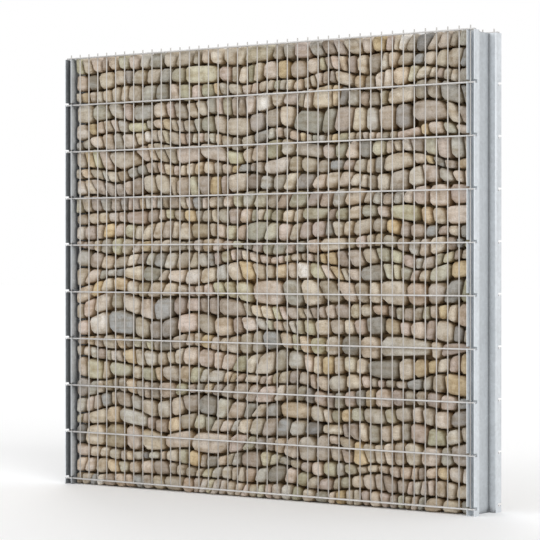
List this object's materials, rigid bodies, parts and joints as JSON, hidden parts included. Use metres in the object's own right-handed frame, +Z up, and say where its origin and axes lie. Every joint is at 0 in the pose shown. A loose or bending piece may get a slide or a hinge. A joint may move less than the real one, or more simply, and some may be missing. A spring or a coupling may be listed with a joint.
{
  "type": "gabion wall bay",
  "caption": "Upright bay of a gabion wall: front and rear double-rod mesh mats hooked into notched sheet-steel posts, with rough stone filled between them.",
  "frame": {"origin": "middle of the wall's foot, at ground level", "axes": "+X along the wall towards the open side of the right post, +Y towards the rear, +Z up"},
  "size_m": [2.05, 0.1972, 1.84],
  "materials": {
    "galvanised_post": "satin",
    "galvanised_wire": "satin",
    "quarry_stone": "matte"
  },
  "bodies": {
    "root": {"left_post": "galvanised_post", "right_post": "galvanised_post", "front_mat": "galvanised_wire", "rear_mat": "galvanised_wire", "front_inner_rail_1": "galvanised_wire", "front_inner_rail_2": "galvanised_wire", "front_inner_rail_3": "galvanised_wire", "front_inner_rail_4": "galvanised_wire", "front_inner_rail_5": "galvanised_wire", "front_inner_rail_6": "galvanised_wire", "front_inner_rail_7": "galvanised_wire", "front_inner_rail_8": "galvanised_wire", "front_inner_rail_9": "galvanised_wire", "front_inner_rail_10": "galvanised_wire", "rear_inner_rail_1": "galvanised_wire", "rear_inner_rail_2": "galvanised_wire", "rear_inner_rail_3": "galvanised_wire", "rear_inner_rail_4": "galvanised_wire", "rear_inner_rail_5": "galvanised_wire", "rear_inner_rail_6": "galvanised_wire", "rear_inner_rail_7": "galvanised_wire", "rear_inner_rail_8": "galvanised_wire", "rear_inner_rail_9": "galvanised_wire", "rear_inner_rail_10": "galvanised_wire", "stone_course_1": "quarry_stone", "stone_course_2": "quarry_stone", "stone_course_3": "quarry_stone", "stone_course_4": "quarry_stone", "stone_course_5": "quarry_stone", "stone_course_6": "quarry_stone", "stone_course_7": "quarry_stone", "stone_course_8": "quarry_stone", "stone_course_9": "quarry_stone"}
  },
  "joints": []
}
